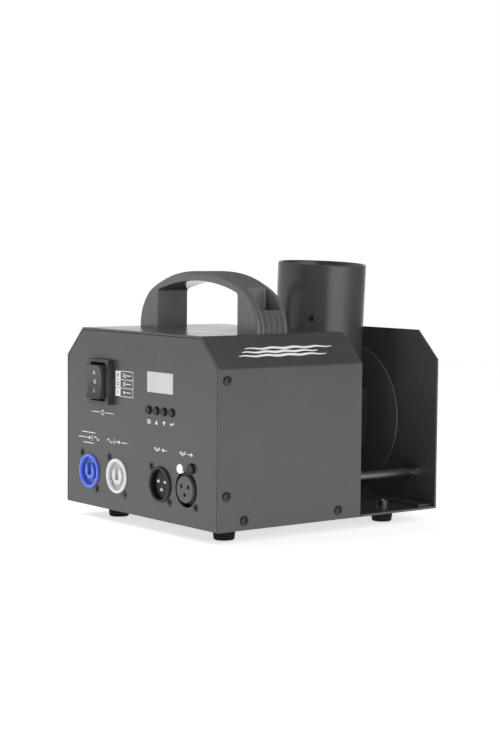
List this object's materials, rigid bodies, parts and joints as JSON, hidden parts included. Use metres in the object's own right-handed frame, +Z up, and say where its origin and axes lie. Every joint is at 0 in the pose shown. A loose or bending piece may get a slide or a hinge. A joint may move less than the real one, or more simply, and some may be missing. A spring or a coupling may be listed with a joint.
{
  "type": "fog machine",
  "caption": "Compact stage fog machine: a folded metal case with control panel and carrying handle, and a tilting fan-blown outlet barrel in an open bay behind it.",
  "frame": {"origin": "centre of the bounding box on the surface that the four feet stand on", "axes": "+Z up, the control panel faces -Y, +X is to the right of someone who looks at the panel, and the barrel tilts about +Y"},
  "size_m": [0.1836, 0.2178, 0.1831],
  "materials": {
    "painted_sheet": "fine satin powder coat",
    "handle_plastic": "moulded, satin",
    "black_screws": "black oxide",
    "zinc_plate": "zinc plated",
    "rod_steel": "turned steel, dull",
    "foot_rubber": "moulded",
    "blue_plastic": "moulded",
    "white_plastic": "moulded",
    "grey_plastic": "moulded",
    "black_plastic": "moulded, satin",
    "brass": "turned",
    "lamp_lens": "milky lens",
    "display_window": "pale filter over a digit display",
    "circuit_board": "solder mask",
    "cable_sheath": "sleeved",
    "tank_plastic": "blown, milky",
    "silicone_hose": "silicone",
    "coil_wire": "enamelled wire under tape",
    "cast_aluminium": "cast and milled",
    "element_sheath": "heat tinted",
    "bright_sheet": "bare sheet"
  },
  "bodies": {
    "root": {"front_panel": "painted_sheet", "base_pan": "painted_sheet", "bulkhead": "painted_sheet", "rear_plate": "painted_sheet", "cover": "painted_sheet", "case_screws": "black_screws", "handle": "handle_plastic", "handle_screws": "zinc_plate", "feet": "foot_rubber", "foot_bolts": "zinc_plate", "tie_rod_left": "rod_steel", "tie_rod_right": "rod_steel", "tie_rod_nuts": "zinc_plate", "mains_inlet": "blue_plastic", "mains_outlet": "white_plastic", "mains_contacts": "brass", "dmx_in_shell": "black_plastic", "dmx_in_pins": "zinc_plate", "dmx_out_shell": "black_plastic", "dmx_out_insert": "grey_plastic", "connector_screws": "black_screws", "signal_lamp": "lamp_lens", "switch_bezel": "black_plastic", "display_window": "display_window", "display_module": "black_plastic", "control_board": "circuit_board", "board_pillars": "zinc_plate", "power_board": "circuit_board", "wiring": "cable_sheath", "fluid_tank": "tank_plastic", "suction_hose": "silicone_hose", "pressure_hose": "silicone_hose", "pump_housing": "white_plastic", "pump_coil": "coil_wire", "pump_bracket": "zinc_plate", "pump_spring": "zinc_plate", "heater_block": "cast_aluminium", "heating_element": "element_sheath", "thermostat": "element_sheath", "heat_shield": "bright_sheet", "fog_nozzle": "brass", "trunnion_bush": "white_plastic"},
    "barrel": {"barrel": "painted_sheet", "barrel_saddle": "painted_sheet", "pivot_disc": "painted_sheet", "pivot_bolt": "zinc_plate", "front_trunnion": "zinc_plate", "finger_guard": "black_plastic", "guard_screws": "black_screws", "fan_frame": "black_plastic"},
    "fan": {"fan_rotor": "black_plastic"},
    "knob": {"tilt_knob": "black_plastic"},
    "rocker": {"switch_rocker": "black_plastic"},
    "latch": {"dmx_out_latch": "black_plastic"},
    "button_menu": {"menu_button": "black_plastic"},
    "button_up": {"up_button": "black_plastic"},
    "button_down": {"down_button": "black_plastic"},
    "button_enter": {"enter_button": "black_plastic"},
    "cap": {"tank_cap": "black_plastic"},
    "plunger": {"pump_plunger": "zinc_plate"}
  },
  "joints": [
    {"name": "barrel_tilt", "type": "hinge", "parent": "root", "child": "barrel", "pos_m": [0, 0.05565, 0.07], "axis": [0, 1, 0], "range_deg": [-93.1, 86.9]},
    {"name": "fan_spin", "type": "hinge", "parent": "barrel", "child": "fan", "pos_m": [-0.00108, 0.05565, 0.05003], "axis": [0.0541, 0, 0.9985], "continuous": true},
    {"name": "knob_turn", "type": "hinge", "parent": "barrel", "child": "knob", "pos_m": [0, 0.1001, 0.07], "axis": [0, 1, 0], "range_deg": [0, 360]},
    {"name": "rocker_tip", "type": "hinge", "parent": "root", "child": "rocker", "pos_m": [-0.044, -0.0979, 0.0986], "axis": [1, 0, 0], "range_deg": [-10, 10]},
    {"name": "latch_press", "type": "slide", "parent": "root", "child": "latch", "axis": [0, 1, 0], "range_m": [0, 0.0015], "stiffness_N_per_m": 300},
    {"name": "menu_press", "type": "slide", "parent": "root", "child": "button_menu", "axis": [0, 1, 0], "range_m": [0, 0.0008], "stiffness_N_per_m": 400},
    {"name": "up_press", "type": "slide", "parent": "root", "child": "button_up", "axis": [0, 1, 0], "range_m": [0, 0.0008], "stiffness_N_per_m": 400},
    {"name": "down_press", "type": "slide", "parent": "root", "child": "button_down", "axis": [0, 1, 0], "range_m": [0, 0.0008], "stiffness_N_per_m": 400},
    {"name": "enter_press", "type": "slide", "parent": "root", "child": "button_enter", "axis": [0, 1, 0], "range_m": [0, 0.0008], "stiffness_N_per_m": 400},
    {"name": "cap_off", "type": "slide", "parent": "root", "child": "cap", "axis": [-0.7071, 0, 0.7071], "range_m": [0, 0.02]},
    {"name": "plunger_stroke", "type": "slide", "parent": "root", "child": "plunger", "axis": [0, -1, 0], "range_m": [0, 0.003], "stiffness_N_per_m": 500}
  ]
}
